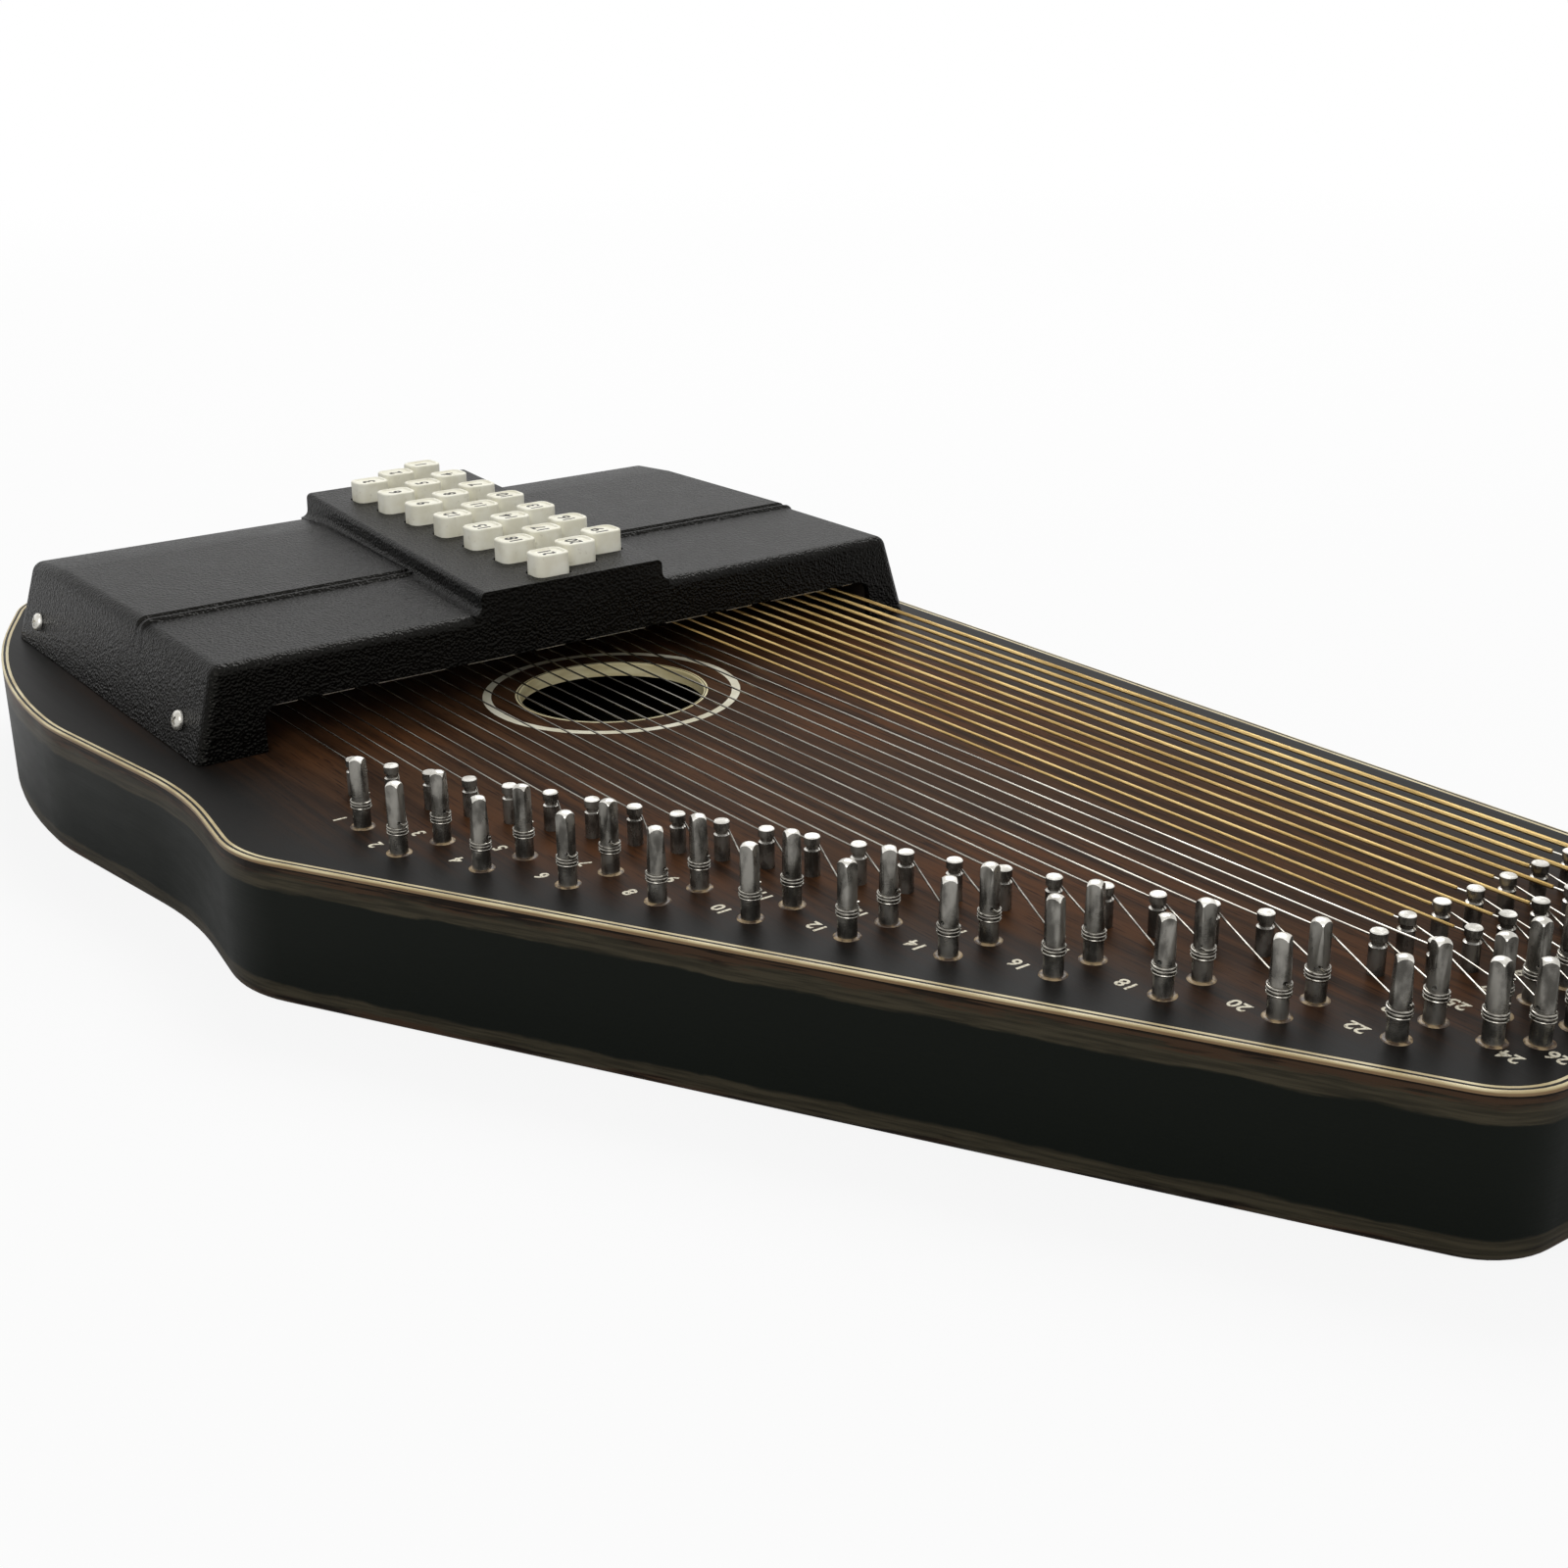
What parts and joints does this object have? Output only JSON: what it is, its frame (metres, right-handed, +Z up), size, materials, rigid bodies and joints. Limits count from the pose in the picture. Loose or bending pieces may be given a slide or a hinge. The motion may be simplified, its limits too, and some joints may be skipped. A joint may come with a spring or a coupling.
{
  "type": "autoharp",
  "caption": "Shallow zither with strings over a round sound hole, a moulded cover over sliding felted chord bars and ivory push buttons.",
  "frame": {"origin": "middle of the body's outline box, on the underside of the back panel", "axes": "+X along the strings from the tail anchor to the tuning pins, +Y from the treble side to the bass side, +Z up out of the soundboard"},
  "size_m": [0.585, 0.302, 0.0856],
  "materials": {
    "sunburst_top": "satin lacquer, dark sunburst",
    "black_frame": "satin black lacquer",
    "laminated_back": "satin lacquer over laminated edges",
    "cream_inlay": "aged cream with a black line",
    "bright_steel": "nickel plate, slightly worn",
    "string_steel": "plain and wound wire",
    "cover_plastic": "pebble-grained moulding",
    "holder_wood": "bare",
    "chord_bar": "painted, with felt below",
    "ivory_button": "satin ivory moulding"
  },
  "bodies": {
    "harp": {"soundboard": "sunburst_top", "back_panel": "laminated_back", "edge_binding": "cream_inlay", "soundhole_binding": "cream_inlay", "rosette_ring": "cream_inlay", "tail_block": "black_frame", "pin_block": "black_frame", "treble_rail": "black_frame", "bass_rail": "black_frame", "string_anchor": "bright_steel", "strings": "string_steel", "chord_cover": "cover_plastic", "treble_bar_holder": "holder_wood", "bass_bar_holder": "holder_wood", "cover_screw_1": "bright_steel", "cover_screw_2": "bright_steel", "cover_screw_3": "bright_steel", "cover_screw_4": "bright_steel"},
    "bar_01": {"chord_bar_01": "chord_bar", "button_01": "ivory_button"},
    "bar_02": {"chord_bar_02": "chord_bar", "button_02": "ivory_button"},
    "bar_03": {"chord_bar_03": "chord_bar", "button_03": "ivory_button"},
    "bar_04": {"chord_bar_04": "chord_bar", "button_04": "ivory_button"},
    "bar_05": {"chord_bar_05": "chord_bar", "button_05": "ivory_button"},
    "bar_06": {"chord_bar_06": "chord_bar", "button_06": "ivory_button"},
    "bar_07": {"chord_bar_07": "chord_bar", "button_07": "ivory_button"},
    "bar_08": {"chord_bar_08": "chord_bar", "button_08": "ivory_button"},
    "bar_09": {"chord_bar_09": "chord_bar", "button_09": "ivory_button"},
    "bar_10": {"chord_bar_10": "chord_bar", "button_10": "ivory_button"},
    "bar_11": {"chord_bar_11": "chord_bar", "button_11": "ivory_button"},
    "bar_12": {"chord_bar_12": "chord_bar", "button_12": "ivory_button"},
    "bar_13": {"chord_bar_13": "chord_bar", "button_13": "ivory_button"},
    "bar_14": {"chord_bar_14": "chord_bar", "button_14": "ivory_button"},
    "bar_15": {"chord_bar_15": "chord_bar", "button_15": "ivory_button"},
    "bar_16": {"chord_bar_16": "chord_bar", "button_16": "ivory_button"},
    "bar_17": {"chord_bar_17": "chord_bar", "button_17": "ivory_button"},
    "bar_18": {"chord_bar_18": "chord_bar", "button_18": "ivory_button"},
    "bar_19": {"chord_bar_19": "chord_bar", "button_19": "ivory_button"},
    "bar_20": {"chord_bar_20": "chord_bar", "button_20": "ivory_button"},
    "bar_21": {"chord_bar_21": "chord_bar", "button_21": "ivory_button"}
  },
  "joints": [
    {"name": "press_01", "type": "slide", "parent": "harp", "child": "bar_01", "axis": [0, 0, -1], "range_m": [0, 0.0025], "stiffness_N_per_m": 400, "springref_m": -0.002},
    {"name": "press_02", "type": "slide", "parent": "harp", "child": "bar_02", "axis": [0, 0, -1], "range_m": [0, 0.0025], "stiffness_N_per_m": 400, "springref_m": -0.002},
    {"name": "press_03", "type": "slide", "parent": "harp", "child": "bar_03", "axis": [0, 0, -1], "range_m": [0, 0.0025], "stiffness_N_per_m": 400, "springref_m": -0.002},
    {"name": "press_04", "type": "slide", "parent": "harp", "child": "bar_04", "axis": [0, 0, -1], "range_m": [0, 0.0025], "stiffness_N_per_m": 400, "springref_m": -0.002},
    {"name": "press_05", "type": "slide", "parent": "harp", "child": "bar_05", "axis": [0, 0, -1], "range_m": [0, 0.0025], "stiffness_N_per_m": 400, "springref_m": -0.002},
    {"name": "press_06", "type": "slide", "parent": "harp", "child": "bar_06", "axis": [0, 0, -1], "range_m": [0, 0.0025], "stiffness_N_per_m": 400, "springref_m": -0.002},
    {"name": "press_07", "type": "slide", "parent": "harp", "child": "bar_07", "axis": [0, 0, -1], "range_m": [0, 0.0025], "stiffness_N_per_m": 400, "springref_m": -0.002},
    {"name": "press_08", "type": "slide", "parent": "harp", "child": "bar_08", "axis": [0, 0, -1], "range_m": [0, 0.0025], "stiffness_N_per_m": 400, "springref_m": -0.002},
    {"name": "press_09", "type": "slide", "parent": "harp", "child": "bar_09", "axis": [0, 0, -1], "range_m": [0, 0.0025], "stiffness_N_per_m": 400, "springref_m": -0.002},
    {"name": "press_10", "type": "slide", "parent": "harp", "child": "bar_10", "axis": [0, 0, -1], "range_m": [0, 0.0025], "stiffness_N_per_m": 400, "springref_m": -0.002},
    {"name": "press_11", "type": "slide", "parent": "harp", "child": "bar_11", "axis": [0, 0, -1], "range_m": [0, 0.0025], "stiffness_N_per_m": 400, "springref_m": -0.002},
    {"name": "press_12", "type": "slide", "parent": "harp", "child": "bar_12", "axis": [0, 0, -1], "range_m": [0, 0.0025], "stiffness_N_per_m": 400, "springref_m": -0.002},
    {"name": "press_13", "type": "slide", "parent": "harp", "child": "bar_13", "axis": [0, 0, -1], "range_m": [0, 0.0025], "stiffness_N_per_m": 400, "springref_m": -0.002},
    {"name": "press_14", "type": "slide", "parent": "harp", "child": "bar_14", "axis": [0, 0, -1], "range_m": [0, 0.0025], "stiffness_N_per_m": 400, "springref_m": -0.002},
    {"name": "press_15", "type": "slide", "parent": "harp", "child": "bar_15", "axis": [0, 0, -1], "range_m": [0, 0.0025], "stiffness_N_per_m": 400, "springref_m": -0.002},
    {"name": "press_16", "type": "slide", "parent": "harp", "child": "bar_16", "axis": [0, 0, -1], "range_m": [0, 0.0025], "stiffness_N_per_m": 400, "springref_m": -0.002},
    {"name": "press_17", "type": "slide", "parent": "harp", "child": "bar_17", "axis": [0, 0, -1], "range_m": [0, 0.0025], "stiffness_N_per_m": 400, "springref_m": -0.002},
    {"name": "press_18", "type": "slide", "parent": "harp", "child": "bar_18", "axis": [0, 0, -1], "range_m": [0, 0.0025], "stiffness_N_per_m": 400, "springref_m": -0.002},
    {"name": "press_19", "type": "slide", "parent": "harp", "child": "bar_19", "axis": [0, 0, -1], "range_m": [0, 0.0025], "stiffness_N_per_m": 400, "springref_m": -0.002},
    {"name": "press_20", "type": "slide", "parent": "harp", "child": "bar_20", "axis": [0, 0, -1], "range_m": [0, 0.0025], "stiffness_N_per_m": 400, "springref_m": -0.002},
    {"name": "press_21", "type": "slide", "parent": "harp", "child": "bar_21", "axis": [0, 0, -1], "range_m": [0, 0.0025], "stiffness_N_per_m": 400, "springref_m": -0.002}
  ]
}
